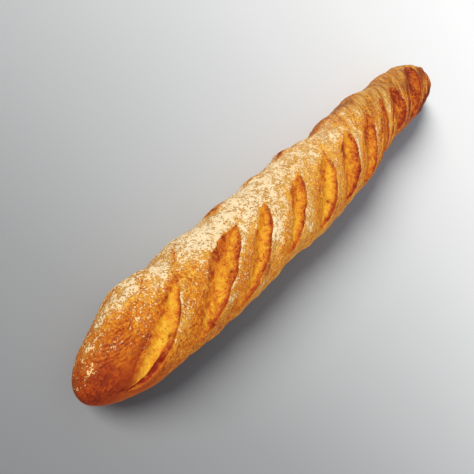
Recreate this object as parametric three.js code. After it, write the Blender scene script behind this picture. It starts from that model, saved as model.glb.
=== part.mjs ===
// A baguette: one long crusty loaf, scored across the top with ten slanting cuts that opened in the
// oven. It lies on its flat base. Millimetres, +Z up, +X from the blunt nose to the thinner tail and
// +Y to the loaf's left. The origin is the middle of the bounding box's underside.
//
// The loaf is one closed skin. A plain body gives each spot on it from its distance along the loaf
// and its angle round the section, 0 at the top and 90 degrees at the left. Cuts, swells and a slight
// unevenness then raise or lower that spot along the body's own normal.
import * as THREE from "three";

// Plain body
const NOSE_TIP = -302;
const TAIL_TIP = 313;
const LENGTH = TAIL_TIP - NOSE_TIP;
const STATION_STEP = 50; // profiles are given every 50 mm, from x = -300 at the nose to x = 300
const FIRST_STATION = -300;
const HALF_WIDTHS = [25.5, 27.5, 28.5, 30.3, 31.3, 32.5, 32.7, 32.2, 30.7, 28.8, 27.7, 25.6, 23];
const HEIGHTS = [40, 42, 44, 47, 49, 50.5, 51.5, 51, 50, 48.5, 47.5, 45, 40];
const SIDE_DRIFT = [-3.6, -0.8, -0.6, -1.8, -1.5, -2, -2.2, 0, 3.7, 4.4, 4.3, 4, -1.5]; // to the left
const NOSE_LENGTH = 84; // the rounded stretch at each end, and how full its curve is
const NOSE_FULLNESS = 2.1;
const TAIL_LENGTH = 86;
const TAIL_FULLNESS = 2;
const SECTION_FULLNESS = 2.25; // 2 would be an ellipse
const WAIST_SHARE = 0.45; // the widest line's height, as a share of the loaf's height
const BASE_CUT = 5; // how far the round section would reach under the flat base
const BASE_BLEND = 2.5; // half the height over which the side turns into the base

// Cuts: [low tip x, low tip degrees, high tip x, high tip degrees, width, bow, skew]. The low tip is
// on the right flank and the high one on the left. The bow curves the cut towards its rim, and the
// skew moves its widest place towards its low tip.
const CUTS = [
  [-286, -53, -226, 39, 20.5, 0.8, 0.11],
  [-234, -48, -162, 41, 25, 3.1, 0.1],
  [-197, -58, -128, 38, 17, -2, 0],
  [-137, -46, -79, 36, 17, -1.2, -0.05],
  [-82, -55, -32, 36, 21, 0.7, 0.15],
  [-36, -48, 16, 40, 24, 0, 0.1],
  [4, -50, 67, 34, 22, -1.5, 0.05],
  [64, -48, 111, 38, 8.5, 1, 0.05],
  [120, -48, 154, 37, 29, 2, 0.1],
  [164, -50, 241, 54, 27, 2.5, 0],
];
const ARC_RADIUS = 31; // turns an angle round the section into millimetres along the crust
const CUT_DEPTH = 3.2; // the crumb beside the rim, under the crust's level
const LIP_SHARE = 0.25; // the crumb's depth beside the lip, as a share of that
const FULL_DEPTH_WIDTH = 13; // a narrower cut is shallower in proportion
const LIP_HEIGHT = 1.6; // the lip that lifted along each cut's far edge
const LIP_REACH_OUT = 6; // how far it reaches over the crust and over the cut
const LIP_REACH_IN = 1.2;
const LIP_WALL = 1.6; // the steep side under the lip, and the gentle one at the rim
const RIM_WALL = 8.5;
const RIM_MERGE = 0.6; // how much wider the rim's slope is at a cut's low end, where it merges with the crust

// Swells: [x, degrees, rise, reach along x, reach in degrees]. The dough swelled beside each cut, and
// a few blisters and the tail's knob stand out alone.
const SWELLS = [
  [-292, 75, -2.5, 12, 40],
  [-264, -75, 1.6, 15, 36],
  [-250, 85, 2.6, 19, 32],
  [-237, -76, -1.2, 7, 28],
  [-220, 92, -3.1, 9, 30],
  [-211, -78, 1.0, 8, 28],
  [-194, -85, 2.2, 24, 32],
  [-192, 98, 1.6, 9, 26],
  [-168, 92, -2.8, 11, 30],
  [-142, 98, 0.7, 10, 26],
  [-112, 88, -1.4, 9, 30],
  [-112, -85, -2.0, 11, 32],
  [-90, -76, 0.9, 6, 24],
  [-84, 92, -0.9, 11, 28],
  [-62, -85, 1.8, 20, 32],
  [-58, 98, 0.9, 7, 26],
  [-43, 90, 2.6, 8, 24],
  [-32, 98, -3.0, 8, 28],
  [-18, -85, -1.2, 12, 32],
  [-7, 92, -3.2, 9, 32],
  [16, 90, -3.0, 13, 32],
  [18, -85, -1.4, 13, 32],
  [44, 98, 1.2, 8, 26],
  [80, -83, -4.2, 14, 30],
  [88, 85, 1.3, 8, 26],
  [104, 98, 1.2, 8, 28],
  [120, -78, -4.6, 16, 32],
  [124, 90, -1.0, 10, 30],
  [150, 92, -3.0, 13, 32],
  [192, 85, 1.4, 14, 32],
  [209, -74, 3.0, 10, 28],
  [218, 98, -2.2, 12, 30],
  [252, 100, 2.6, 18, 28],
  [268, 33, 2.4, 5, 10],
  [296, 40, 1.6, 8, 20],
  [302, 95, -2.4, 10, 40],
];

// Unevenness: [rise, waves over the length, waves round the section, phase]
const WAVES = [
  [0.45, 9, 2, 0.4],
  [0.35, 15, -3, 1.9],
  [0.25, 24, 5, 4.1],
];

// Mesh
const RING_STEP = 4.8; // between rings along the loaf
const CAP_LENGTH = 30; // the rings close up towards each tip over this
const SPOKES = 36; // points round a ring
const TOP_DENSITY = 0.42; // above 0 they stand closer together on top
const SHEAR = 40; // the rings slant over the top, so that their lines run along the cuts
const SHEAR_FADE = 95; // the slant fades out over this length at each end

const clamp = THREE.MathUtils.clamp;
const radians = THREE.MathUtils.degToRad;
const smoothstep = THREE.MathUtils.smoothstep;

// A smooth curve through the values of a profile.
function profile(values, x) {
  const last = values.length - 1;
  const place = clamp((x - FIRST_STATION) / STATION_STEP, 0, last - 1e-4);
  const i = Math.floor(place);
  const f = place - i;
  const [a, b, c, d] = [i - 1, i, i + 1, i + 2].map((k) => values[clamp(k, 0, last)]);
  return b + 0.5 * f * (c - a + f * (2 * a - 5 * b + 4 * c - d + f * (3 * (b - c) + d - a)));
}

// How full the section is near the tips: 0 at a tip, 1 along the body.
function endRound(x) {
  const nose = clamp((x - NOSE_TIP) / NOSE_LENGTH, 0, 1);
  const tail = clamp((TAIL_TIP - x) / TAIL_LENGTH, 0, 1);
  const round = (u, fullness) => (1 - (1 - u) ** fullness) ** (1 / fullness);
  return round(nose, NOSE_FULLNESS) * round(tail, TAIL_FULLNESS);
}

// A spot on the plain body, before the base is flattened.
function bodySpot(x, angle) {
  const full = endRound(x) + 1e-6;
  const height = profile(HEIGHTS, x);
  const waist = WAIST_SHARE * height;
  const wide = profile(HALF_WIDTHS, x) * full;
  const tall = (Math.cos(angle) > 0 ? height - waist : waist + BASE_CUT) * full;
  const side = Math.abs(Math.sin(angle) / wide) ** SECTION_FULLNESS;
  const rise = Math.abs(Math.cos(angle) / tall) ** SECTION_FULLNESS;
  const radius = (side + rise) ** (-1 / SECTION_FULLNESS);
  return new THREE.Vector3(
    x,
    profile(SIDE_DRIFT, x) + radius * Math.sin(angle),
    waist + radius * Math.cos(angle),
  );
}

// The body's outward normal, from neighbouring spots.
function bodyNormal(x, angle) {
  const stepX = 0.2;
  const stepAngle = 0.01;
  const inside = clamp(x, NOSE_TIP + 2 * stepX, TAIL_TIP - 2 * stepX);
  const along = bodySpot(inside + stepX, angle).sub(bodySpot(inside - stepX, angle));
  const round = bodySpot(inside, angle + stepAngle).sub(bodySpot(inside, angle - stepAngle));
  return along.cross(round).normalize();
}

// What one cut adds at a spot: crumb that lies low between its edges, and a lip along the far edge.
function cutRelief([lowX, lowDeg, highX, highDeg, width, bow, skew], x, angle) {
  const lowArc = radians(lowDeg) * ARC_RADIUS;
  const highArc = radians(highDeg) * ARC_RADIUS;
  const half = Math.hypot(highX - lowX, highArc - lowArc) / 2;
  const runX = (highX - lowX) / 2 / half;
  const runArc = (highArc - lowArc) / 2 / half;
  const fromX = x - (lowX + highX) / 2;
  const fromArc = angle * ARC_RADIUS - (lowArc + highArc) / 2;
  const along = (fromX * runX + fromArc * runArc) / half;
  if (Math.abs(along) >= 1) return 0;
  const bent = bow * (1 - along * along);
  const across = fromArc * runX - fromX * runArc - bent; // above 0 towards the rim
  const skewed = along + skew * (1 - along * along);
  const opening = (1 - Math.abs(skewed) ** 2.2) ** 0.8;
  const gap = width * opening;
  const fromLip = across + gap / 2;
  const reach = fromLip < 0 ? LIP_REACH_OUT : LIP_REACH_IN;
  const size = Math.min(1, width / FULL_DEPTH_WIDTH);
  const lip = LIP_HEIGHT * size * opening ** 0.6 * Math.exp(-((fromLip / reach) ** 2));
  const rimWall = RIM_WALL * (1 + RIM_MERGE * smoothstep(-along, -0.3, 0.5));
  const inside = smoothstep(fromLip, 0, LIP_WALL) * smoothstep(gap - fromLip, 0, rimWall);
  const share = LIP_SHARE + (1 - LIP_SHARE) * smoothstep(fromLip / (gap + 1e-6), 0, 0.5);
  return lip - CUT_DEPTH * size * Math.sqrt(opening) * inside * share;
}

// What one swell adds at a spot.
function swellRelief([atX, atDeg, rise, reachX, reachDeg], x, angle) {
  const u = (x - atX) / reachX;
  const v = (angle - radians(atDeg)) / radians(reachDeg);
  return rise * Math.exp(-u * u - v * v);
}

function waveRelief([rise, overLength, round, phase], x, angle) {
  return rise * Math.sin((x / LENGTH) * overLength * 2 * Math.PI + round * angle + phase);
}

// Everything that stands off the plain body, fading out at the very tips.
function relief(x, angle) {
  const fade = endRound(x) ** 1.5;
  let sum = 0;
  for (const cut of CUTS) sum += cutRelief(cut, x, angle);
  for (const swell of SWELLS) sum += swellRelief(swell, x, angle);
  for (const wave of WAVES) sum += waveRelief(wave, x, angle);
  return sum * fade;
}

// Flattens what would lie under the base, with a rounded edge. The flat part is exactly z = 0.
function flatten(z) {
  if (z <= -BASE_BLEND) return 0;
  return z >= BASE_BLEND ? z : (z + BASE_BLEND) ** 2 / (4 * BASE_BLEND);
}

function crustSpot(x, angle) {
  const spot = bodySpot(x, angle).addScaledVector(bodyNormal(x, angle), relief(x, angle));
  spot.z = flatten(spot.z);
  return spot;
}

// Where the rings stand, before their slant: evenly along the body, and closing up in the caps.
function ringPlaces() {
  const capRings = Math.round((2 * CAP_LENGTH) / RING_STEP);
  const bodyRings = Math.round((LENGTH - 2 * CAP_LENGTH) / RING_STEP);
  const cap = Array.from({ length: capRings }, (_, i) => CAP_LENGTH * ((i + 1) / capRings) ** 2);
  const places = cap.map((u) => NOSE_TIP + u);
  const step = (LENGTH - 2 * CAP_LENGTH) / bodyRings;
  for (let i = 1; i < bodyRings; i++) places.push(NOSE_TIP + CAP_LENGTH + i * step);
  return places.concat(cap.map((u) => TAIL_TIP - u).reverse());
}

// The skin: rings of points, closed by one point at each tip.
function crustGeometry() {
  const places = ringPlaces();
  const points = [];
  for (const place of places) {
    const inward = smoothstep(Math.min(place - NOSE_TIP, TAIL_TIP - place), 0, SHEAR_FADE);
    for (let j = 0; j < SPOKES; j++) {
      const turn = (j / SPOKES) * 2 * Math.PI - Math.PI;
      const angle = turn - TOP_DENSITY * Math.sin(turn);
      points.push(crustSpot(place + SHEAR * Math.sin(angle) * inward, angle));
    }
  }
  const noseTip = points.push(crustSpot(NOSE_TIP, 0)) - 1;
  const tailTip = points.push(crustSpot(TAIL_TIP, 0)) - 1;
  const faces = [];
  for (let j = 0; j < SPOKES; j++) {
    const next = (j + 1) % SPOKES;
    faces.push(noseTip, j, next);
    for (let i = 0; i + 1 < places.length; i++) {
      const near = i * SPOKES;
      const far = near + SPOKES;
      faces.push(near + j, far + j, far + next);
      faces.push(near + j, far + next, near + next);
    }
    const last = (places.length - 1) * SPOKES;
    faces.push(tailTip, last + next, last + j);
  }
  const geometry = new THREE.BufferGeometry().setFromPoints(points);
  geometry.setIndex(faces);
  return geometry;
}

const geometry = crustGeometry();
geometry.computeBoundingBox();
const middle = geometry.boundingBox.getCenter(new THREE.Vector3());
geometry.translate(-middle.x, -middle.y, -geometry.boundingBox.min.z);
geometry.computeVertexNormals();

const crust = new THREE.MeshStandardMaterial({ color: 0xc9772c, roughness: 0.75, metalness: 0 });
const loaf = new THREE.Mesh(geometry, crust);
loaf.name = "loaf";

const group = new THREE.Group();
group.add(loaf);
export default group;
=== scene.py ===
import bpy
import numpy as np
from mathutils import Matrix, Vector


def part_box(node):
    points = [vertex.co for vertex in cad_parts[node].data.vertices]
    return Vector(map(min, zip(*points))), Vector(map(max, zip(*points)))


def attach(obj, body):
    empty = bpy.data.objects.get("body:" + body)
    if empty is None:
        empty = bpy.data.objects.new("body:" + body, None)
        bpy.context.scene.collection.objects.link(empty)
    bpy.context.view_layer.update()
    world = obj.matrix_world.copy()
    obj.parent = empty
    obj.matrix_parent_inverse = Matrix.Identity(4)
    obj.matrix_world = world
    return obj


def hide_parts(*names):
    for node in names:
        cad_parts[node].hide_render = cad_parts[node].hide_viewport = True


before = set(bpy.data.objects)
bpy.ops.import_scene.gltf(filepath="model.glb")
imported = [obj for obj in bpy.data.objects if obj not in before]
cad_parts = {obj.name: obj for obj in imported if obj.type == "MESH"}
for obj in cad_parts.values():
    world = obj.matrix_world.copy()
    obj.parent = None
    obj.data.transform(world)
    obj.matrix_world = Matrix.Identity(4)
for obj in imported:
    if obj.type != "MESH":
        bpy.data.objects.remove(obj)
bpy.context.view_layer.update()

# A baguette: a long crusty loaf with ten slanting cuts, dusted with flour, lying on a pale floor.
# Lengths are millimetres until the mesh is made in metres. Degrees run round the section, 0 at the top
# and 90 at the left, and "angle" is the same in radians. +X runs from the blunt nose to the thinner tail.

MM = 0.001

# ---------------------------------------------------------------- the loaf's sizes, as the solid has
NOSE_TIP = -302
TAIL_TIP = 313
LENGTH = TAIL_TIP - NOSE_TIP
STATION_STEP = 50  # profiles are given every 50 mm, from x = -300 at the nose to x = 300
FIRST_STATION = -300
HALF_WIDTHS = [25.5, 27.5, 28.5, 30.3, 31.3, 32.5, 32.7, 32.2, 30.7, 28.8, 27.7, 25.6, 23]
HEIGHTS = [40, 42, 44, 47, 49, 50.5, 51.5, 51, 50, 48.5, 47.5, 45, 40]
SIDE_DRIFT = [-3.6, -0.8, -0.6, -1.8, -1.5, -2, -2.2, 0, 3.7, 4.4, 4.3, 4, -1.5]  # to the left
NOSE_LENGTH = 84  # the rounded stretch at each end, and how full its curve is
NOSE_FULLNESS = 2.1
TAIL_LENGTH = 86
TAIL_FULLNESS = 2
SECTION_FULLNESS = 2.25  # 2 would be an ellipse
WAIST_SHARE = 0.45  # the widest line's height, as a share of the loaf's height
BASE_CUT = 5  # how far the round section would reach under the flat base
BASE_BLEND = 2.5  # half the height over which the side turns into the base

# Cuts: low tip x, low tip degrees, high tip x, high tip degrees, width, bow, skew. The low tip is on the
# right flank and the high one on the left. The bow curves the cut towards its rim, and the skew moves
# its widest place towards its low tip.
CUTS = [
    (-286, -53, -226, 39, 20.5, 0.8, 0.11),
    (-234, -48, -162, 41, 25, 3.1, 0.1),
    (-197, -58, -128, 38, 17, -2, 0),
    (-137, -46, -79, 36, 17, -1.2, -0.05),
    (-82, -55, -32, 36, 21, 0.7, 0.15),
    (-36, -48, 16, 40, 24, 0, 0.1),
    (4, -50, 67, 34, 22, -1.5, 0.05),
    (64, -48, 111, 38, 8.5, 1, 0.05),
    (120, -48, 154, 37, 29, 2, 0.1),
    (164, -50, 241, 54, 27, 2.5, 0),
]
ARC_RADIUS = 31  # turns an angle round the section into millimetres along the crust
CUT_DEPTH = 3.2  # the crumb beside the rim, under the crust's level
LIP_SHARE = 0.25  # the crumb's depth beside the lip, as a share of that
FULL_DEPTH_WIDTH = 13  # a narrower cut is shallower in proportion
LIP_HEIGHT = 1.6  # the lip that lifted along each cut's far edge
LIP_REACH_OUT = 6  # how far it reaches over the crust and over the cut
LIP_REACH_IN = 1.2
LIP_WALL = 1.6  # the steep side under the lip, and the gentle one at the rim
RIM_WALL = 8.5
RIM_MERGE = 0.6  # how much wider the rim's slope is at a cut's low end, where it merges with the crust

# Swells: x, degrees, rise, reach along x, reach in degrees. The dough swelled beside each cut, and a
# few blisters and the tail's knob stand out alone.
SWELLS = [
    (-292, 75, -2.5, 12, 40),
    (-264, -75, 1.6, 15, 36),
    (-250, 85, 2.6, 19, 32),
    (-237, -76, -1.2, 7, 28),
    (-220, 92, -3.1, 9, 30),
    (-211, -78, 1.0, 8, 28),
    (-194, -85, 2.2, 24, 32),
    (-192, 98, 1.6, 9, 26),
    (-168, 92, -2.8, 11, 30),
    (-142, 98, 0.7, 10, 26),
    (-112, 88, -1.4, 9, 30),
    (-112, -85, -2.0, 11, 32),
    (-90, -76, 0.9, 6, 24),
    (-84, 92, -0.9, 11, 28),
    (-62, -85, 1.8, 20, 32),
    (-58, 98, 0.9, 7, 26),
    (-43, 90, 2.6, 8, 24),
    (-32, 98, -3.0, 8, 28),
    (-18, -85, -1.2, 12, 32),
    (-7, 92, -3.2, 9, 32),
    (16, 90, -3.0, 13, 32),
    (18, -85, -1.4, 13, 32),
    (44, 98, 1.2, 8, 26),
    (80, -83, -4.2, 14, 30),
    (88, 85, 1.3, 8, 26),
    (104, 98, 1.2, 8, 28),
    (120, -78, -4.6, 16, 32),
    (124, 90, -1.0, 10, 30),
    (150, 92, -3.0, 13, 32),
    (192, 85, 1.4, 14, 32),
    (209, -74, 3.0, 10, 28),
    (218, 98, -2.2, 12, 30),
    (252, 100, 2.6, 18, 28),
    (268, 33, 2.4, 5, 10),
    (296, 40, 1.6, 8, 20),
    (302, 95, -2.4, 10, 40),
]

# Unevenness: rise, waves over the length, waves round the section, phase
WAVES = [(0.45, 9, 2, 0.4), (0.35, 15, -3, 1.9), (0.25, 24, 5, 4.1)]

# ---------------------------------------------------------------- the fine mesh
RING_STEP = 0.98  # between rings along the loaf
CAP_LENGTH = 30  # the rings close up towards each tip over this
SPOKES = 144  # spots round a ring
TOP_DENSITY = 0.42  # above 0 they stand closer together on top
SHEAR = 40  # the rings slant over the top, so that their lines run along the cuts
SHEAR_FADE = 95  # the slant fades out over this length at each end
MAP_MARGIN = 0.012  # the free edge round each half of the map, as a share of the map

# ---------------------------------------------------------------- the finer shapes
TEAR_LONG = (1.0, 10)  # how far the cuts' edges wander, and over what length
TEAR_SHORT = (0.5, 3.5)
LIP_OVERHANG = 1.2  # how far a lip leans over its cut
OVERHANG_MIDDLE = -0.3  # where it leans most, from the cut's edge, and its reach over crust and cut
OVERHANG_REACH_OUT = 3.0
OVERHANG_REACH_IN = 0.9
CREASE_LENGTH = (30, 22, 12, 8, 12, 8, 10, 8, 8, 6)  # the crease that runs on from each cut's high tip
CREASE_DEPTH = 0.9
CREASE_HALF_WIDTH = 1.6
# The gap under each lip's low end is cut into the relief and also darkened as painted shadow.
CREVICE = (1.0, 0.2, 0.2, 0.12, 0.18, 0.25, 0.12, 0.08, 0.2, 0.12)  # the gap under each lip's low end
CREVICE_DEPTH = 1.6
CREVICE_REACH = 1.15
BUMP_HEIGHT = 0.3  # the crust's broad bumps, its finer ones and its blisters
BUMP_SIZE = 13
FINE_BUMP_HEIGHT = 0.2
FINE_BUMP_SIZE = 3.6
BLISTER_HEIGHT = 0.5
BLISTER_SIZE = 5
STREAK_HEIGHT = 0.2  # fine creases that run as the cuts do
STREAK_SIZE = 3.6
STREAK_STRETCH = 0.28
FOLD_HEIGHT = 0.42  # the crumb's torn folds, its grain and its holes
FOLD_SIZE = 7
GRAIN_HEIGHT = 0.22
GRAIN_SIZE = 2.8
HOLE_DEPTH = 0.8
HOLE_SIZE = 3.4
PITS = [  # single holes in the crumb: x, degrees, reach, depth
    (-61, -29, 1.6, 2.2),
    (-190, -7, 1.4, 1.4),
    (-262, 3, 1.4, 1.0),
    (-252, -17, 1.3, 1.0),
    (-95, 8, 1.2, 1.0),
    (-240, 26, 1.2, 0.8),
]
WRINKLE_MIDDLE = (-271, 54)  # x, degrees: wrinkles ring this spot, on its side towards the nose's tip
WRINKLE_STARTS = (3, 7)  # how far from it they start and end
WRINKLE_ENDS = (20, 32)
WRINKLE_STEP = 2.8
WRINKLE_WAVER = 2.2
WRINKLE_DEPTH = 0.25

# Cracks and folds in the crust: x and degrees of both ends, half width, depth
CRACKS = [
    (-264, 97, -246, 88, 0.9, 0.9),
    (-246, 64, -229, 88, 0.35, 0.4),
    (-245, 58, -228, 77, 0.35, 0.4),
    (-231, 74, -217, 82, 0.35, 0.4),
    (-226, 48, -208, 66, 0.35, 0.3),
    (-216, 62, -194, 84, 0.4, 0.4),
    (-184, 84, -158, 90, 0.8, 0.7),
    (-160, 34, -146, 54, 0.4, 0.4),
    (-128, 88, -96, 92, 0.8, 0.7),
    (-60, 86, -34, 92, 0.8, 0.7),
    (-20, 88, 14, 92, 0.8, 0.7),
    (50, 80, 72, 86, 0.9, 0.8),
    (-291, -50, -284, -44, 0.7, 0.6),
    (-228, -43, -213, -46, 0.6, 0.5),
    (196, -8, 214, 22, 0.8, 0.6),
    (214, -44, 224, -40, 1.2, 1.4),
    (274, -34, 286, 30, 1.2, 1.5),
    (258, 12, 262, 38, 0.7, 0.9),
]
CRACK_WANDER = 1.2  # how far they stray from a straight line
CRACK_TAPER = 3  # they fade in and out over this length

# ---------------------------------------------------------------- where the colours lie
# How red each cut's crumb baked, from 0, gold, to 1, deep red-brown: middle, and what lip and rim add
CRUMB_REDNESS = [
    (0.18, 0.26, 0.38),
    (0.37, 0.28, 0.28),
    (0.30, 0.22, 0.12),
    (0.24, 0.26, 0.14),
    (0.14, 0.40, 0.14),
    (0.44, 0.30, 0.16),
    (0.50, 0.16, 0.06),
    (0.58, 0.08, 0.06),
    (0.70, 0.16, 0.10),
    (0.70, 0.10, 0.14),
]

# Flour and baking along the loaf, at the same places as the sizes above
BAND_FLOUR = [0.16, 0.52, 0.76, 0.86, 0.70, 0.60, 0.56, 0.42, 0.32, 0.26, 0.18, 0.10, 0.00]
TOP_FLOUR = [0.00, 0.25, 0.41, 0.46, 0.42, 0.31, 0.24, 0.25, 0.22, 0.18, 0.14, 0.07, 0.00]
BAKE = [0.63, 0.46, 0.35, 0.29, 0.29, 0.31, 0.37, 0.44, 0.50, 0.55, 0.57, 0.64, 0.75]

# Degrees round the section over which the flour's band on the left starts and ends, and that on top
BAND_FLOUR_STARTS = (22, 46)
BAND_FLOUR_ENDS = (110, 155)
TOP_FLOUR_STARTS = (-46, -12)
TOP_FLOUR_ENDS = (115, 160)
LEFT_EDGE = (80, 96)  # a ragged line low on the left, where the band stops already
LEFT_EDGE_RAGGED = 9
LEFT_EDGE_FROM = (-175, -145)  # the x over which that line sets in

# How much of the flour each mark takes, and how much darker each makes the crust
FLOUR_LOSS = {"crease": 0.3, "furrow": 0.3, "crack": 0.6}
DARKENING = {"bare": 0.12, "crease": 0.06, "furrow": 0.24, "crack": 0.16}

# Patches: x, degrees, reach along x, reach in degrees, strength. They slant as the cuts do.
PATCH_SLANT = 0.65  # millimetres along the loaf for each degree
PATCH_RAGGED_X = 3.5  # how ragged their edges are, along the loaf and in degrees
PATCH_RAGGED_DEGREES = 7
FLOUR_PATCHES = [
    (-252, 68, 12, 14, 0.30),
    (-228, 62, 8, 12, 0.30),
    (-176, 62, 26, 16, 0.25),
    (-200, -38, 6, 6, 0.70),
    (-165, -50, 7, 6, 0.60),
    (-100, -38, 7, 5, 0.40),
    (-167, -6, 8, 8, 0.36),
    (-172, 18, 6, 14, 0.40),
    (-165, -20, 9, 7, 0.22),
    (-135, -48, 14, 6, 0.25),
    (14, 8, 7, 17, 1.30),
    (-6, 50, 14, 9, 0.20),
    (-295, 46, 3.0, 13, 0.34),
    (-271, 76, 3, 9, 0.40),
    (-286, 82, 4, 8, 0.46),
    (-294, 70, 2, 8, 0.38),
    (78, -38, 5, 8, 0.40),
]
BARE_PATCHES = [
    (-150, 86, 9, 8, 0.9),
    (-52, 88, 9, 9, 0.9),
    (84, 82, 22, 9, 1.0),
    (30, 62, 8, 8, 0.4),
    (170, 55, 16, 10, 0.5),
    (-252, 50, 16, 14, 0.35),
    (-270, 50, 10, 10, 0.3),
    (-226, 38, 13, 13, 0.40),
    (-211, 36, 9, 9, 0.20),
    (-143, 78, 6, 4, 0.7),
    (-96, 77, 5, 4, 0.6),
    (-10, -46, 26, 12, 0.12),
    (-139, 4, 8, 17, 0.22),
    (-238, -34, 16, 12, 0.30),
]
DARK_PATCHES = [
    (262, 28, 11, 11, 0.60),
    (76, 80, 22, 9, 0.6),
    (57, -9, 6, 7, 0.35),
    (-146, -12, 5, 9, 0.30),
    (-156, -38, 6, 8, 0.30),
    (238, -36, 22, 9, 0.5),
    (212, -52, 14, 12, 0.5),
    (248, 22, 22, 7, 0.35),
    (249, 3, 14, 9, 0.35),
    (-152, 86, 8, 8, 0.25),
    (-96, 78, 5, 4, 0.30),
    (-54, 86, 9, 8, 0.35),
    (186, 19, 9, 6, 0.20),
]
CRUMB_PATCHES = [  # redder where the strength is above 0, more golden where it is below
    (-99, 16, 12, 8, 0.30),
    (-54, 18, 9, 10, 0.36),
    (-73, -14, 7, 16, 0.15),
    (-12, 18, 7, 10, 0.32),
    (-9, 4, 3, 20, -0.34),
    (9, 32, 6, 7, -0.42),
    (4, 5, 5, 15, 0.15),
    (46, 16, 12, 10, 0.20),
    (23, -18, 9, 6, 0.15),
    (43, -16, 3.5, 10, -0.22),
    (137, 16, 15, 14, 0.34),
    (188, 20, 9, 7, 0.30),
    (204, 30, 12, 8, 0.42),
    (222, 43, 14, 6, 0.42),
    (204, 8, 14, 8, 0.15),
    (-10, -14, 6, 12, 0.16),
    (38, 2, 10, 12, 0.14),
    (-186, 29, 9, 5, 0.28),
    (-170, 31, 7, 6, -0.20),
    (-177, 6, 5, 12, 0.22),
    (-264, -30, 7, 8, 0.25),
]

# ---------------------------------------------------------------- stage, lights and camera
# The floor, in metres: its reach from the middle, and the span over which it grows paler, which is
# painted light. The span runs along x, and turns towards y by the slant.
FLOOR_REACH = 6
FLOOR_SPAN = (-0.45, 0.65)
FLOOR_SLANT = 0.36

# Suns: name, direction of the light, strength, softness in degrees, colour
LOAF_SUNS = [
    ("key", (0.32, -0.85, -1.0), 2.75, 22, (1.0, 0.97, 0.92)),
    ("fill", (0.5, 0.75, -0.45), 1.72, 60, (1.0, 0.96, 0.88)),
]
FLOOR_SUNS = [
    ("floor_key", (1.15, -1.2, -1.0), 8.75, 27, (1.03, 1.015, 0.98)),
    ("floor_fill", (0.0, 0.0, -1.0), 0.75, 170, (0.82, 0.96, 1.16)),
]
WORLD_COLOUR = (1.0, 0.98, 0.94, 1)
WORLD_STRENGTH = 0.24

CAMERA_PLACE = (-465.0, 66.79, 290.51)  # from the loaf's own origin, before it is settled
CAMERA_AZIMUTH = -10.884
CAMERA_DOWN = 39.391
CAMERA_ROLL = 65.458
FOCAL_PIXELS = 640.11
FRAME_PIXELS = 474
SENSOR = 36


def smoothstep(value, low, high):
    """Rises smoothly from 0 at low to 1 at high."""
    t = np.clip((value - low) / (high - low), 0, 1)
    return t * t * (3 - 2 * t)


def fade(value, low, high):
    """Falls smoothly from 1 at low to 0 at high."""
    return 1 - smoothstep(value, low, high)


def bump(value, middle, reach):
    """1 at the middle, falling smoothly to nothing over about twice the reach."""
    return np.exp(-(((value - middle) / reach) ** 2))


# ---------------------------------------------------------------- noise
class Noise:
    """Smooth random values from -1 to 1, the same in every run. Each use has a seed of its own."""

    ROWS = 256
    LAYER_SHIFT = 17.3

    def __init__(self, seed):
        draws = np.random.default_rng(seed)
        self.table = draws.permutation(self.ROWS)
        self.values = draws.uniform(-1, 1, self.ROWS)

    def __call__(self, points, size):
        """The noise at points, with features of the given size."""
        places = points / size
        cells = np.floor(places).astype(int)
        within = places - cells
        blend = within**3 * (within * (within * 6 - 15) + 10)
        total = 0
        for corner in np.ndindex(2, 2, 2):
            weight = np.prod(np.where(corner, blend, 1 - blend), axis=-1)
            row = 0
            for place in np.moveaxis(cells + corner, -1, 0):
                row = self.table[(row + place) % self.ROWS]
            total = total + weight * self.values[row]
        return total

    def layers(self, points, size, count=3):
        """Several noises on each other, each half as large and half as strong as the last."""
        return sum(self(points + self.LAYER_SHIFT * k, size / 2**k) / 2**k for k in range(count))


# ---------------------------------------------------------------- the plain body
def profile(values, x):
    """A smooth curve through the values of a profile."""
    last = len(values) - 1
    place = np.clip((x - FIRST_STATION) / STATION_STEP, 0, last - 1e-4)
    i = np.floor(place).astype(int)
    f = place - i
    table = np.asarray(values, float)
    a, b, c, d = (table[np.clip(i + k, 0, last)] for k in (-1, 0, 1, 2))
    return b + 0.5 * f * (c - a + f * (2 * a - 5 * b + 4 * c - d + f * (3 * (b - c) + d - a)))


def end_round(x):
    """How full the section is: 0 at a tip, 1 along the body."""

    def rounded(from_tip, length, fullness):
        share = np.clip(from_tip / length, 0, 1)
        return (1 - (1 - share) ** fullness) ** (1 / fullness)

    nose = rounded(x - NOSE_TIP, NOSE_LENGTH, NOSE_FULLNESS)
    return nose * rounded(TAIL_TIP - x, TAIL_LENGTH, TAIL_FULLNESS)


def body_spot(x, angle):
    """A spot on the plain body, before the base is flattened."""
    full = end_round(x) + 1e-6
    height = profile(HEIGHTS, x)
    waist = WAIST_SHARE * height
    wide = profile(HALF_WIDTHS, x) * full
    tall = np.where(np.cos(angle) > 0, height - waist, waist + BASE_CUT) * full
    side = np.abs(np.sin(angle) / wide) ** SECTION_FULLNESS
    rise = np.abs(np.cos(angle) / tall) ** SECTION_FULLNESS
    radius = (side + rise) ** (-1 / SECTION_FULLNESS)
    y = profile(SIDE_DRIFT, x) + radius * np.sin(angle)
    return np.stack([x + 0 * radius, y, waist + radius * np.cos(angle)], -1)


def body_directions(x, angle):
    """The body's outward normal and its directions along the loaf and round it."""
    step_x = 0.2
    step_angle = 0.01
    inside = np.clip(x, NOSE_TIP + 2 * step_x, TAIL_TIP - 2 * step_x)
    along = body_spot(inside + step_x, angle) - body_spot(inside - step_x, angle)
    round_it = body_spot(inside, angle + step_angle) - body_spot(inside, angle - step_angle)
    normal = np.cross(along, round_it)
    return [v / np.linalg.norm(v, axis=-1, keepdims=True) for v in (normal, along, round_it)]


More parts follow.
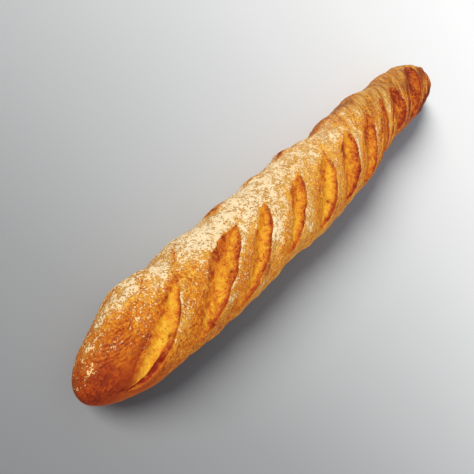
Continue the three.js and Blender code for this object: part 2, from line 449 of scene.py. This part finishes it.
def beside_line(ends, x, arc):
    """How far along and beside a line over the crust a spot lies, and the line's length and run."""
    low_x, low_deg, high_x, high_deg = ends
    low_arc, high_arc = np.radians([low_deg, high_deg]) * ARC_RADIUS
    length = np.hypot(high_x - low_x, high_arc - low_arc)
    run_x = (high_x - low_x) / length
    run_arc = (high_arc - low_arc) / length
    along = (x - low_x) * run_x + (arc - low_arc) * run_arc
    across = (arc - low_arc) * run_x - (x - low_x) * run_arc
    return along, across, length, run_x, run_arc


# ---------------------------------------------------------------- the cuts
class Cut:
    """How every spot of the crust lies by one cut, and what the cut does there."""

    def __init__(self, cut, x, arc):
        *ends, width, bow, skew = cut
        from_low, self.straight, length, self.run_x, self.run_arc = beside_line(ends, x, arc)
        self.past_high_tip = from_low - length
        along = from_low / (length / 2) - 1  # from -1 at the low tip to 1 at the high one
        self.near = np.abs(along) < 1
        self.along = np.clip(along, -0.9999, 0.9999)
        bulge = 1 - self.along**2
        self.opening = (1 - np.abs(self.along + skew * bulge) ** 2.2) ** 0.8
        gap = width * self.opening
        self.from_lip = self.straight - bow * bulge + gap / 2
        self.from_rim = gap - self.from_lip
        self.share_across = self.from_lip / (gap + 1e-6)
        self.size = min(1, width / FULL_DEPTH_WIDTH)
        self.merging = smoothstep(-self.along, -0.3, 0.5)  # 1 at the low end, where rim and crust merge

    def relief(self):
        """The lifted lip, and the hollow beside it: steep under the lip and gentle at the rim."""
        reach = np.where(self.from_lip < 0, LIP_REACH_OUT, LIP_REACH_IN)
        lip = LIP_HEIGHT * self.size * self.opening**0.6 * bump(self.from_lip, 0, reach)
        rim_wall = RIM_WALL * (1 + RIM_MERGE * self.merging)
        inside = smoothstep(self.from_lip, 0, LIP_WALL) * smoothstep(self.from_rim, 0, rim_wall)
        share = LIP_SHARE + (1 - LIP_SHARE) * smoothstep(self.share_across, 0, 0.5)
        return lip - CUT_DEPTH * self.size * np.sqrt(self.opening) * inside * share

    def lean(self):
        """How far the lip leans over the cut."""
        reach = np.where(self.from_lip < OVERHANG_MIDDLE, OVERHANG_REACH_OUT, OVERHANG_REACH_IN)
        leaning = bump(self.from_lip, OVERHANG_MIDDLE, reach)
        return LIP_OVERHANG * self.size * self.opening**0.5 * leaning

    def gap_under_lip(self, crevice):
        """The narrow gap under the lip's low end."""
        towards_low = smoothstep(-self.along, 0.1, 0.5) * fade(-self.along, 0.94, 1.0)
        reach = CREVICE_REACH * (0.7 + 0.5 * crevice)
        return crevice * towards_low * bump(self.from_lip, 1.3 * reach, reach)

    def crease(self, length):
        """The crease that runs on from the high tip."""
        running = smoothstep(self.past_high_tip, -5, 2) * fade(self.past_high_tip, 0.5 * length, length)
        return running * bump(self.straight, 0, CREASE_HALF_WIDTH)

    def tone(self, redness, gap_under):
        """How red the crumb baked: its middle, more beside lip and rim, and more still in the gap, where
        the added redness is painted shadow under the lip.
        """
        middle, lip, rim = redness
        beside_lip = fade(self.from_lip, 1.2, 5)
        beside_rim = smoothstep(self.share_across, 0.35, 0.9)
        return middle + lip * beside_lip + rim * beside_rim + 0.5 * gap_under

    def marks(self, crease_length, crevice, redness):
        """The cut's relief, its lean, and the marks that colours follow."""
        from_lip, from_rim, merging = self.from_lip, self.from_rim, self.merging
        lean = self.lean()
        gap_under = self.gap_under_lip(crevice)
        crumb = smoothstep(from_lip, -0.3, 0.3) * smoothstep(from_rim, -0.4, 0.6 + 7 * merging)
        blunt = self.opening**0.3
        crust = (1 - crumb) * blunt
        marks = {
            "relief": self.relief() - CREVICE_DEPTH * gap_under,
            "lean_x": -self.run_arc * lean,
            "lean_arc": self.run_x * lean,
            "crumb": crumb,
            "tone": crumb * self.tone(redness, gap_under),
            # painted shadow in the gap under the lip's low end
            "gap": (1.1 + 0.3 * crevice) * gap_under**2,
            # the line under the lip: partly seared crust, partly painted shade under the lip
            "line": bump(from_lip, 0.5, 0.75) * blunt,
            "rim": bump(from_rim, 0.2, 0.9) * smoothstep(self.along, -0.9, -0.2) * blunt,
            "edge": bump(from_lip, -1.0, 0.8) * crust,
            "shelf": smoothstep(-from_lip, 0, 1) * fade(-from_lip, 5, 13) * crust,
            "bare": bump(from_rim, -1, 3 + 4.5 * merging) * (0.5 + 0.5 * merging) * crust,
        }
        marks = {name: np.where(self.near, value, 0) for name, value in marks.items()}
        marks["crease"] = self.crease(crease_length)
        return marks


def tear(noise, spots):
    """How far a torn edge wanders."""
    return sum(rise * noise(spots, size) for rise, size in (TEAR_LONG, TEAR_SHORT))


def all_cuts(x, angle, spots):
    """The marks of all the cuts together, their edges wandering as a tear does."""
    torn_x = x + tear(Noise(3), spots)
    torn_arc = angle * ARC_RADIUS + tear(Noise(4), spots)
    total = {}
    for cut, *finish in zip(CUTS, CREASE_LENGTH, CREVICE, CRUMB_REDNESS):
        for name, value in Cut(cut, torn_x, torn_arc).marks(*finish).items():
            total[name] = total.get(name, 0) + value
    return total


# ---------------------------------------------------------------- the crust's other shapes
def swells(x, angle):
    """The body's broad swells and waists."""
    total = 0
    for at_x, at_deg, rise, reach_x, reach_deg in SWELLS:
        u = (x - at_x) / reach_x
        v = (angle - np.radians(at_deg)) / np.radians(reach_deg)
        total = total + rise * np.exp(-u * u - v * v)
    return total


def waves(x, angle):
    """A gentle unevenness all over."""
    total = 0
    for rise, over_length, round_it, phase in WAVES:
        total = total + rise * np.sin((x / LENGTH) * over_length * 2 * np.pi + round_it * angle + phase)
    return total


def cracks(x, angle, spots):
    """Cracks and folds in the crust; their mark from 0 to 1, and their depth."""
    arc = angle * ARC_RADIUS
    wander = CRACK_WANDER * Noise(21).layers(spots, 7, 2)
    mark = 0
    depth = 0
    for *ends, half_width, deep in CRACKS:
        along, across, length, _, _ = beside_line(ends, x, arc)
        within = smoothstep(along, 0, CRACK_TAPER) * smoothstep(length - along, 0, CRACK_TAPER)
        here = within * bump(across + wander, 0, half_width)
        mark = mark + here
        depth = depth + deep * here
    return np.clip(mark, 0, 1), depth


def wrinkles(x, angle, spots):
    """Fine wrinkles in rings, on the side of their middle that faces the nose's tip; from -1 to 1."""
    middle_x, middle_deg = WRINKLE_MIDDLE
    from_x = x - middle_x
    from_arc = (angle - np.radians(middle_deg)) * ARC_RADIUS * 0.8
    distance = np.hypot(from_x, from_arc)
    towards_tip = smoothstep(-from_x - 0.6 * from_arc, -2, 8)
    where = smoothstep(distance, *WRINKLE_STARTS) * fade(distance, *WRINKLE_ENDS) * towards_tip
    where = where * smoothstep(Noise(14)(spots, 6), -0.5, 0.3)
    place = distance + WRINKLE_WAVER * Noise(5).layers(spots, 12, 3)
    return where * np.sin(place * 2 * np.pi / WRINKLE_STEP)


def streaks(x, angle):
    """Fine creases that run as the cuts do, deeper towards the tail; about -1 to 1."""
    across = x - PATCH_SLANT * np.degrees(angle)
    stretched = np.stack([across, STREAK_STRETCH * angle * ARC_RADIUS, 0 * across], -1)
    turned = np.abs(np.degrees(angle) - 12)
    on_top = 1 - 0.75 * smoothstep(turned, 58, 95) - 0.25 * smoothstep(turned, 120, 160)
    strength = (0.4 + 0.6 * smoothstep(x, -70, 80)) * on_top * end_round(x) ** 2
    return Noise(20).layers(stretched, STREAK_SIZE, 3) * strength


def pits(x, angle):
    """Single deep holes in the crumb; from 0 to 1, the mark that darkens them as painted shade, and their
    depth.
    """
    mark = 0
    depth = 0
    for at_x, at_deg, reach, deep in PITS:
        distance = np.hypot(x - at_x, (angle - np.radians(at_deg)) * ARC_RADIUS)
        here = bump(distance, 0, reach)
        mark = mark + here
        depth = depth + deep * here
    return mark, depth


def all_marks(x, angle, spots):
    """Every mark that relief and colours follow."""
    marks = all_cuts(x, angle, spots)
    marks["crack"], marks["crack_depth"] = cracks(x, angle, spots)
    marks["pit"], marks["pit_depth"] = pits(x, angle)
    marks["wrinkle"] = wrinkles(x, angle, spots)
    marks["furrow"] = np.clip(-marks["wrinkle"], 0, 1)
    marks["streak"] = streaks(x, angle)
    return marks


def fine_relief(marks, spots):
    """The crust's small bumps, blisters and wrinkles, and the crumb's torn grain."""
    crumb = np.clip(marks["crumb"], 0, 1)
    bumps = BUMP_HEIGHT * Noise(6).layers(spots, BUMP_SIZE)
    bumps = bumps + FINE_BUMP_HEIGHT * Noise(6).layers(spots + 50, FINE_BUMP_SIZE, 2)
    blisters = BLISTER_HEIGHT * smoothstep(Noise(7)(spots, BLISTER_SIZE), 0.5, 0.95)
    crust = bumps + blisters + STREAK_HEIGHT * marks["streak"]
    folds = FOLD_HEIGHT * Noise(8).layers(spots, FOLD_SIZE)
    grain = GRAIN_HEIGHT * Noise(9).layers(spots, GRAIN_SIZE, 2)
    holes = HOLE_DEPTH * smoothstep(Noise(10)(spots, HOLE_SIZE), 0.62, 0.9)
    relief = crust * (1 - crumb) + (folds + grain - holes) * crumb
    relief = relief + WRINKLE_DEPTH * marks["wrinkle"] - CREASE_DEPTH * marks["crease"]
    return relief - marks["pit_depth"] - marks["crack_depth"]


def flatten(z):
    """Flattens what would lie under the base, with a rounded edge."""
    rounded = (z + BASE_BLEND) ** 2 / (4 * BASE_BLEND)
    return np.where(z <= -BASE_BLEND, 0, np.where(z >= BASE_BLEND, z, rounded))


# ---------------------------------------------------------------- colour marks
def patches(table, x, degrees, spots):
    """Slanting patches with ragged edges."""
    ragged_x = x + PATCH_RAGGED_X * Noise(15).layers(spots, 9)
    ragged_degrees = degrees + PATCH_RAGGED_DEGREES * Noise(16).layers(spots, 9)
    slant = PATCH_SLANT * smoothstep(x, -292, -250)
    total = 0
    for at_x, at_deg, reach_x, reach_deg, strength in table:
        turned = ragged_degrees - at_deg
        place = ragged_x - slant * turned
        total = total + strength * bump(place, at_x, reach_x) * bump(turned, 0, reach_deg)
    return total


def left_edge(x, degrees, spots):
    """Where the flour stops, in a ragged line low on the left side, and the crust is dark again."""
    ragged_degrees = degrees + LEFT_EDGE_RAGGED * Noise(23)(spots, 18)
    return smoothstep(ragged_degrees, *LEFT_EDGE) * smoothstep(x, *LEFT_EDGE_FROM)


def flour_cover(x, degrees, marks, spots):
    """How densely flour lies, from 0 to 1: a thick band on the upper left, thinner over the top."""
    uneven = Noise(11).layers(spots, 24, 4)
    wavering = degrees + 5 * Noise(17)(spots, 20)
    band = smoothstep(wavering, *BAND_FLOUR_STARTS) * fade(degrees, *BAND_FLOUR_ENDS)
    band = band * (1 - 0.3 * smoothstep(degrees, 90, 110)) * (1 - 0.85 * left_edge(x, degrees, spots))
    top = smoothstep(wavering, *TOP_FLOUR_STARTS) * fade(degrees, *TOP_FLOUR_ENDS) * (1 - band)
    beside_lips = 0.08 * marks["shelf"] + 0.14 * marks["edge"]
    beside_lips = beside_lips * smoothstep(x, -290, -250) * fade(x, -90, 0)
    cover = profile(BAND_FLOUR, x) * band * (1 + 0.3 * uneven)
    cover = cover + top * (profile(TOP_FLOUR, x) * (1 + 0.8 * uneven) + beside_lips)
    streaked = 0.35 + 0.95 * smoothstep(x, 0, 120)
    cover = cover * (1 + streaked * marks["streak"]) * (1 - 0.75 * np.clip(marks["bare"], 0, 1))
    cover = cover + patches(FLOUR_PATCHES, x, degrees, spots) - patches(BARE_PATCHES, x, degrees, spots)
    cover = cover - sum(loss * marks[name] for name, loss in FLOUR_LOSS.items())
    return np.clip(cover * (1 - marks["crumb"]), 0, 1)


def baking(x, degrees, marks, spots):
    """How dark the crust baked, from 0, pale gold, to 1, deep red-brown."""
    along_loaf = profile(BAKE, x) + 0.12 * Noise(12).layers(spots, 34)
    streaked = (0.2 + 0.15 * smoothstep(x, 60, 160)) * marks["streak"]
    right_flank = 0.10 * smoothstep(degrees, -175, -110) * fade(degrees, -55, -20)
    both_flanks = 0.08 * smoothstep(np.abs(degrees), 60, 110)
    tip = fade(x + 9 * smoothstep(degrees, 5, 50), -293, -277)
    tip = 0.29 * tip * smoothstep(spots[..., 1], -22, -6) * smoothstep(spots[..., 2], 10, 26)
    low_left = 0.3 * left_edge(x, degrees, spots) * fade(degrees, 100, 130) * fade(x, 85, 115)
    rim = 0.12 * marks["rim"] * (1 - marks["crumb"])
    lines = sum(darker * marks[name] for name, darker in DARKENING.items())
    dark = along_loaf - streaked + right_flank + both_flanks + tip + low_left + rim + lines
    return np.clip(dark + patches(DARK_PATCHES, x, degrees, spots), 0, 1)


def mottling(x, degrees, marks):
    """How speckled the crust is, from 0, an even glaze, to 1."""
    top = smoothstep(degrees, -55, -12) * fade(degrees, 125, 170)
    top = top * (1 - 0.3 * smoothstep(degrees, 80, 110))
    nose = fade(x + 9 * smoothstep(degrees, 20, 60), -286, -238)
    tail = smoothstep(x, 70, 150) * fade(degrees, 10, 40)
    bare = np.clip(marks["bare"], 0, 1)
    return (0.42 + 0.52 * top) * (1 - 0.75 * nose) * (1 - 0.4 * tail) * (1 - 0.6 * bare)


def toasting(x, degrees):
    """Where the tail's crust and flour baked to a dull tan, from 0 to 1: on its upper left."""
    left = smoothstep(degrees, -6, 40) * fade(degrees, 110, 165)
    lobe = smoothstep(x - 0.6 * degrees, 215, 240) * fade(degrees, 35, 80)
    return smoothstep(x + 0.6 * degrees, 50, 130) * left * (1 - lobe) * fade(x, 270, 305)


def crumb_tone(x, degrees, marks, spots):
    """How red the crumb baked, from 0, gold, to 1, deep red-brown, with painted shadow in the gaps under
    the lips.
    """
    tone = marks["tone"] / np.maximum(marks["crumb"], 0.05) + 0.1 * Noise(18)(spots, 8)
    return np.clip(tone + patches(CRUMB_PATCHES, x, degrees, spots), 0, 1)


def seared_lines_and_painted_shade(marks, spots):
    """Dark lines: under the lips, partly seared crust and partly painted shade; painted shadow in the
    gaps at their low ends; the rims' edges; and painted shade in the pits.
    """
    line = marks["line"] * (0.72 + 0.5 * Noise(19).layers(spots, 7, 3))
    gap = np.clip(marks["gap"] * (0.85 + 1.5 * Noise(24).layers(spots, 2.6, 2)), 0, 1)
    rim = 0.65 * marks["rim"] * np.clip(1.8 * Noise(22)(spots, 12), 0, 1)
    return np.clip(line + gap + rim + marks["pit"], 0, 1)


# ---------------------------------------------------------------- the loaf's mesh
def ring_places():
    """Where the rings stand, before their slant: evenly along the body, and closing up in the caps."""
    cap_rings = round(2 * CAP_LENGTH / RING_STEP)
    body_rings = round((LENGTH - 2 * CAP_LENGTH) / RING_STEP)
    cap = CAP_LENGTH * (np.arange(1, cap_rings + 1) / cap_rings) ** 2
    body = np.linspace(NOSE_TIP + CAP_LENGTH, TAIL_TIP - CAP_LENGTH, body_rings + 1)[1:-1]
    return np.concatenate([NOSE_TIP + cap, body, TAIL_TIP - cap[::-1]])


def skin_places(rings):
    """The x and the angle of every spot of the skin: ring after ring, then the two tips."""
    turn = np.arange(SPOKES) / SPOKES * 2 * np.pi - np.pi
    angles = turn - TOP_DENSITY * np.sin(turn)
    inward = smoothstep(np.minimum(rings - NOSE_TIP, TAIL_TIP - rings), 0, SHEAR_FADE)
    x = rings[:, None] + SHEAR * np.sin(angles) * inward[:, None]
    angle = np.broadcast_to(angles, x.shape)
    return np.append(x, [NOSE_TIP, TAIL_TIP]), np.append(angle, [0, 0])


def finished_skin(x, angle):
    """Every spot of the finished skin, and the marks that its colours follow."""
    degrees = np.degrees(angle)
    spots = body_spot(x, angle)
    normal, along, round_it = body_directions(x, angle)
    marks = all_marks(x, angle, spots)
    fade_out = end_round(x) ** 1.5
    height = marks["relief"] + swells(x, angle) + waves(x, angle) + fine_relief(marks, spots)
    skin = spots + normal * (height * fade_out)[..., None]
    for direction, lean in ((along, marks["lean_x"]), (round_it, marks["lean_arc"])):
        skin = skin + direction * (lean * fade_out)[..., None]
    skin[..., 2] = flatten(skin[..., 2])
    flour = flour_cover(x, degrees, marks, spots)
    colours = {
        "flour": flour,
        "drift": 1 - fade(flour, 0.2, 0.6) * (1 - 0.8 * smoothstep(x, -130, -10)),
        "bake": baking(x, degrees, marks, spots),
        "mottle": mottling(x, degrees, marks),
        "toasted": toasting(x, degrees),
        "crumb": np.clip(marks["crumb"], 0, 1),
        "tone": crumb_tone(x, degrees, marks, spots),
        # dark lines: seared crust and painted shade under the lips, painted shadow in their gaps, painted
        # shade in the pits
        "line": seared_lines_and_painted_shade(marks, spots),
    }
    return skin, colours


def settle(points, low, high):
    """Moves the points so that their box has the CAD box's middle and underside, and keeps them in it."""
    middle = (points.min(0) + points.max(0)) / 2
    middle[2] = points[:, 2].min()
    target = (low + high) / 2
    target[2] = low[2]
    return np.clip(points - middle + target, low, high), target - middle


def skin_faces(rings):
    """Quads between the rings, and triangles that close the two tips."""
    here = np.arange(SPOKES)
    after = (here + 1) % SPOKES
    starts = np.arange(rings - 1)[:, None] * SPOKES
    quads = np.stack([starts + here, starts + SPOKES + here, starts + SPOKES + after, starts + after], -1)
    nose_tip = rings * SPOKES
    tail_tip = nose_tip + 1
    last = (rings - 1) * SPOKES
    nose = [(nose_tip, int(a), int(b)) for a, b in zip(here, after)]
    tail = [(tail_tip, int(last + b), int(last + a)) for a, b in zip(here, after)]
    return quads.reshape(-1, 4).tolist() + nose + tail


def unwrap(mesh, rings):
    """A map of two strips, nose half and tail half, each opened along the underside."""
    vertex = np.empty(len(mesh.loops), int)
    mesh.loops.foreach_get("vertex_index", vertex)
    corners = np.empty(len(mesh.polygons), int)
    mesh.polygons.foreach_get("loop_total", corners)
    face = np.repeat(np.arange(len(corners)), corners)

    # The faces' rows of SPOKES: those between the rings, then the nose's triangles, then the tail's
    nose_row = len(rings) - 1
    halfway = len(rings) // 2
    row, column = face // SPOKES, face % SPOKES
    in_tail = (row >= halfway) & (row != nose_row)
    spoke = vertex % SPOKES
    turn = np.where((spoke == 0) & (column == SPOKES - 1), SPOKES, spoke)
    turn = np.where(vertex >= len(rings) * SPOKES, column + 0.5, turn)
    place = np.append(np.repeat(rings, SPOKES), [NOSE_TIP, TAIL_TIP])[vertex]
    start = np.where(in_tail, rings[halfway], NOSE_TIP)
    end = np.where(in_tail, TAIL_TIP, rings[halfway])

    u = MAP_MARGIN + (1 - 2 * MAP_MARGIN) * (place - start) / (end - start)
    v = np.where(in_tail, 0.5, 0) + MAP_MARGIN + (0.5 - 2 * MAP_MARGIN) * turn / SPOKES
    layer = mesh.uv_layers.new(name="OFBake")
    layer.data.foreach_set("uv", np.stack([u, v], -1).astype(np.float32).ravel())


def build_loaf():
    """The loaf, and how far settling moved it."""
    rings = ring_places()
    skin, colours = finished_skin(*skin_places(rings))
    low, high = (np.array(corner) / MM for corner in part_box("loaf"))
    skin, moved = settle(skin, low, high)
    mesh = bpy.data.meshes.new("loaf_skin")
    mesh.from_pydata((skin * MM).tolist(), [], skin_faces(len(rings)))
    mesh.shade_smooth()
    for name, values in colours.items():
        attribute = mesh.attributes.new(name, "FLOAT", "POINT")
        attribute.data.foreach_set("value", values.astype(np.float32))
    unwrap(mesh, rings)
    mesh.materials.append(crust_material())
    loaf = bpy.data.objects.new("baguette", mesh)
    bpy.context.collection.objects.link(loaf)
    return loaf, moved


# ---------------------------------------------------------------- materials
def linear(hex_colour):
    """A screen colour such as "c8742c" as linear red, green, blue and alpha."""
    channels = [int(hex_colour[i : i + 2], 16) / 255 for i in (0, 2, 4)]
    return [c / 12.92 if c <= 0.04045 else ((c + 0.055) / 1.055) ** 2.4 for c in channels] + [1]


CRUST_COLOURS = [
    (0.0, "eeba54"),
    (0.3, "de972e"),
    (0.5, "cc751c"),
    (0.7, "b25416"),
    (0.85, "983812"),
    (1.0, "6e200a"),
]
CRUMB_COLOURS = [
    (0.0, "eab236"),
    (0.28, "df9528"),
    (0.5, "d27824"),
    (0.75, "b4511e"),
    (1.0, "822a14"),
]
TOASTED_CRUST_COLOUR = linear("b6843a")
SPECK_COLOUR = linear("7a3a12")
# The dark red of the seared lines, and of the painted shade under the lips, in their gaps and in the pits
SEAR_AND_SHADE_COLOUR = linear("841c0e")
DUST_COLOUR = linear("c48a40")
THIN_FLOUR_COLOUR = linear("ffd490")
FLOUR_COLOUR = linear("f8e2b8")
TOASTED_FLOUR_COLOUR = linear("d8b06c")
BURNT_FLOUR_COLOUR = linear("9a7038")
FLOOR_PAINTED_LIGHT_COLOURS = [
    (0.0, "565759"),
    (0.18, "797a7b"),
    (0.27, "8d8e8f"),
    (0.36, "9b9c9d"),
    (0.5, "ababac"),
    (0.68, "b6b6b6"),
    (1.0, "bebebe"),
]


class Shader:
    """A material's node tree, with one short call for each kind of node."""

    def __init__(self, name):
        self.material = bpy.data.materials.new(name)
        self.material.use_nodes = True
        self.tree = self.material.node_tree
        self.surface = self.tree.nodes["Principled BSDF"]

    def join(self, value, socket):
        """Links a node's output to the socket, or sets the socket's own value."""
        if isinstance(value, bpy.types.NodeSocket):
            self.tree.links.new(value, socket)
        else:
            socket.default_value = value

    def node(self, kind, inputs=(), **settings):
        made = self.tree.nodes.new(kind)
        for key, value in settings.items():
            setattr(made, key, value)
        for key, value in dict(inputs).items():
            self.join(value, made.inputs[key])
        return made

    def set_surface(self, inputs):
        """Sets inputs of the surface itself, by their names."""
        for name, value in inputs.items():
            self.join(value, self.surface.inputs[name])

    def mark(self, name):
        return self.node("ShaderNodeAttribute", attribute_name=name).outputs["Fac"]

    def place(self):
        return self.node("ShaderNodeTexCoord").outputs["Object"]

    def math(self, operation, *values):
        return self.node("ShaderNodeMath", enumerate(values), operation=operation).outputs[0]

    def plus(self, a, b):
        return self.math("ADD", a, b)

    def minus(self, a, b):
        return self.math("SUBTRACT", a, b)

    def times(self, first, *others):
        for other in others:
            first = self.math("MULTIPLY", first, other)
        return first

    def opposite(self, value):
        return self.minus(1.0, value)

    def step(self, value, low, high, kind="SMOOTHSTEP"):
        """From 0 at low to 1 at high."""
        inputs = {"Value": value, "From Min": low, "From Max": high}
        return self.node("ShaderNodeMapRange", inputs, interpolation_type=kind).outputs["Result"]

    def noise(self, size, detail, roughness=0.5, shift=0.0):
        """Noise with features of the given size in millimetres, from about 0 to 1."""
        moved = {0: self.place(), 1: (shift, shift, shift)}
        place = self.node("ShaderNodeVectorMath", moved, operation="ADD").outputs[0]
        inputs = {"Vector": place, "Scale": 1 / (size * MM), "Detail": detail, "Roughness": roughness}
        fac = self.node("ShaderNodeTexNoise", inputs).outputs["Fac"]
        return self.step(fac, 0.25, 0.75, "LINEAR")

    def cells(self, size):
        """A random value from 0 to 1 for every grain of the given size in millimetres."""
        inputs = {"Vector": self.place(), "Scale": 1 / (size * MM)}
        colour = self.node("ShaderNodeTexVoronoi", inputs).outputs["Color"]
        return self.node("ShaderNodeSeparateColor", {0: colour}).outputs[0]

    def mix(self, amount, a, b):
        """The colour a, with b over it in the given amount."""
        return self.node("ShaderNodeMix", {0: amount, 6: a, 7: b}, data_type="RGBA").outputs[2]

    def ramp(self, value, stops):
        made = self.node("ShaderNodeValToRGB", {"Fac": value})
        elements = made.color_ramp.elements
        while len(elements) < len(stops):
            elements.new(0.5)
        for element, (place, colour) in zip(elements, stops):
            element.position = place
            element.color = linear(colour)
        return made.outputs["Color"]


class CrustShader(Shader):
    """The loaf's material: baked crust and crumb, and the flour on them."""

    def __init__(self):
        super().__init__("crust")
        self.textures = {
            "grain": self.noise(1.2, 2, 0.6),
            "cell": self.cells(1.1),
            "flake": self.cells(2.1),
            "clump": self.noise(3.2, 1, shift=0.2),
            "patch": self.noise(7, 2, shift=0.3),
        }

    def vary(self, value, **strengths):
        """The value, moved up and down by textures of the given strengths."""
        for name, strength in strengths.items():
            value = self.plus(value, self.times(self.minus(self.textures[name], 0.5), strength))
        return value

    def baked(self):
        """The colour of crust and crumb, without flour."""
        speckle = self.vary(0.0, patch=0.35, clump=0.6, grain=1.0, cell=0.45, flake=0.35)
        bake = self.plus(self.mark("bake"), self.times(speckle, self.mark("mottle")))
        crust = self.ramp(bake, CRUST_COLOURS)
        crust = self.mix(self.times(self.mark("toasted"), 0.4), crust, TOASTED_CRUST_COLOUR)
        tone = self.vary(self.mark("tone"), patch=0.30, clump=0.48, grain=0.45, flake=0.15)
        colour = self.mix(self.mark("crumb"), crust, self.ramp(tone, CRUMB_COLOURS))
        speck = self.step(self.noise(2.6, 1, shift=0.7), 0.78, 0.95)
        colour = self.mix(self.times(speck, 0.5), colour, SPECK_COLOUR)
        # Seared crust and painted shade: the dark lines under the lips, in their gaps and in the pits
        return self.mix(self.times(self.mark("line"), 0.95), colour, SEAR_AND_SHADE_COLOUR)

    def scatter(self):
        """How readily flour holds: in dots where little of it lies and in drifts where much does."""
        dots = self.vary(0.5, cell=0.5, flake=0.35, grain=0.8, clump=0.3, patch=0.2)
        drifts = self.vary(0.5, cell=0.45, flake=0.35, grain=0.75, clump=0.45, patch=0.5)
        drift = self.mark("drift")
        scatter = self.plus(self.times(dots, self.opposite(drift)), self.times(drifts, drift))
        from_crack = self.math("ABSOLUTE", self.minus(self.noise(6, 1, shift=0.5), 0.5))
        crack = self.opposite(self.step(from_crack, 0.0, 0.05))
        return self.minus(scatter, self.times(crack, 0.12))

    def floured(self, colour):
        """The colour with flour over it, and how much of it the grains cover."""
        flour = self.mark("flour")
        above = self.minus(self.scatter(), self.minus(0.86, self.times(flour, 0.72)))
        pinhole = self.step(self.noise(1.3, 1, shift=0.4), 0.64, 0.78)
        pinhole = self.times(pinhole, self.step(self.textures["patch"], 0.75, 0.35))
        some = self.times(self.step(flour, 0.0, 0.12), self.opposite(pinhole))
        strength = self.plus(0.84, self.times(flour, 0.14))
        grains = self.times(self.step(above, -0.01, 0.09), strength, some)
        dust = self.times(self.step(above, -0.6, -0.05), 0.85, self.step(flour, 0.3, 0.6))
        burnt = self.times(pinhole, self.step(flour, 0.35, 0.7), 0.7)

        thickness = self.vary(flour, cell=0.25, clump=0.5, patch=0.3)
        pale = self.mix(self.step(thickness, 0.4, 0.9), THIN_FLOUR_COLOUR, FLOUR_COLOUR)
        pale = self.mix(self.mark("toasted"), pale, TOASTED_FLOUR_COLOUR)
        colour = self.mix(dust, colour, DUST_COLOUR)
        colour = self.mix(grains, colour, pale)
        return self.mix(burnt, colour, BURNT_FLOUR_COLOUR), grains


def crust_material():
    shader = CrustShader()
    colour, grains = shader.floured(shader.baked())
    height = shader.vary(0.5, grain=1.0, clump=0.8, flake=0.4)
    height = shader.plus(height, shader.times(shader.minus(grains, 0.5), 0.4))
    relief = shader.node("ShaderNodeBump", {"Height": height, "Strength": 0.8, "Distance": 0.4 * MM})
    roughness = shader.plus(0.55, shader.times(grains, 0.35))
    surface = {
        "Base Color": colour,
        "Roughness": roughness,
        "Specular IOR Level": 0.09,
        "Normal": relief.outputs["Normal"],
    }
    shader.set_surface(surface)
    return shader.material


def floor_material():
    """A matt grey that grows paler from the camera's lower left to its upper right, a painted gradient of
    light.
    """
    shader = Shader("floor")
    x, y, _ = shader.node("ShaderNodeSeparateXYZ", {0: shader.place()}).outputs
    away = shader.step(shader.plus(x, shader.times(y, FLOOR_SLANT)), *FLOOR_SPAN, "LINEAR")
    grey = shader.ramp(away, FLOOR_PAINTED_LIGHT_COLOURS)
    shader.set_surface({"Base Color": grey, "Roughness": 0.9, "Specular IOR Level": 0.0})
    return shader.material


# ---------------------------------------------------------------- floor, lights and camera
def build_floor():
    corners = [(x * FLOOR_REACH, y * FLOOR_REACH, 0) for x, y in ((-1, -1), (1, -1), (1, 1), (-1, 1))]
    mesh = bpy.data.meshes.new("floor")
    mesh.from_pydata(corners, [], [(0, 1, 2, 3)])
    mesh.materials.append(floor_material())
    floor = bpy.data.objects.new("floor", mesh)
    bpy.context.collection.objects.link(floor)
    return floor


def add_sun(name, towards, strength, soft_degrees, colour, piece):
    """A soft sun whose light travels towards a direction, and falls on one piece only."""
    light = bpy.data.lights.new(name, "SUN")
    light.energy = strength
    light.angle = np.radians(soft_degrees)
    light.color = colour
    sun = bpy.data.objects.new(name, light)
    sun.rotation_euler = Vector(towards).to_track_quat("-Z", "Y").to_euler()
    bpy.context.collection.objects.link(sun)
    lit = bpy.data.collections.new(name + "_lit")
    lit.objects.link(piece)
    sun.light_linking.receiver_collection = lit


def add_camera(moved):
    """The photo's camera, moved as the loaf was when it was settled."""
    azimuth, down, roll = np.radians([CAMERA_AZIMUTH, CAMERA_DOWN, CAMERA_ROLL])
    forward = Vector((np.cos(azimuth) * np.cos(down), np.sin(azimuth) * np.cos(down), -np.sin(down)))
    level = Vector((np.sin(azimuth), -np.cos(azimuth), 0))
    upright = level.cross(forward)
    right = level * np.cos(roll) + upright * np.sin(roll)
    up = upright * np.cos(roll) - level * np.sin(roll)
    lens = bpy.data.cameras.new("camera")
    lens.sensor_width = SENSOR
    lens.lens = FOCAL_PIXELS / FRAME_PIXELS * SENSOR
    lens.clip_start = 0.01
    camera = bpy.data.objects.new("camera", lens)
    place = Vector((np.array(CAMERA_PLACE) + moved) * MM)
    turned = Matrix((right, up, -forward)).transposed().to_4x4()
    camera.matrix_world = Matrix.Translation(place) @ turned
    bpy.context.collection.objects.link(camera)
    bpy.context.scene.camera = camera


def set_world():
    """An even, dim light from all round."""
    world = bpy.data.worlds.new("studio")
    world.use_nodes = True
    background = world.node_tree.nodes["Background"]
    background.inputs["Color"].default_value = WORLD_COLOUR
    background.inputs["Strength"].default_value = WORLD_STRENGTH
    bpy.context.scene.world = world


# ---------------------------------------------------------------- the scene
loaf, moved = build_loaf()
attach(loaf, "root")
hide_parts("loaf")

floor = build_floor()
set_world()
for sun in LOAF_SUNS:
    add_sun(*sun, loaf)
for sun in FLOOR_SUNS:
    add_sun(*sun, floor)
add_camera(moved)
bpy.context.scene.view_settings.view_transform = "Standard"
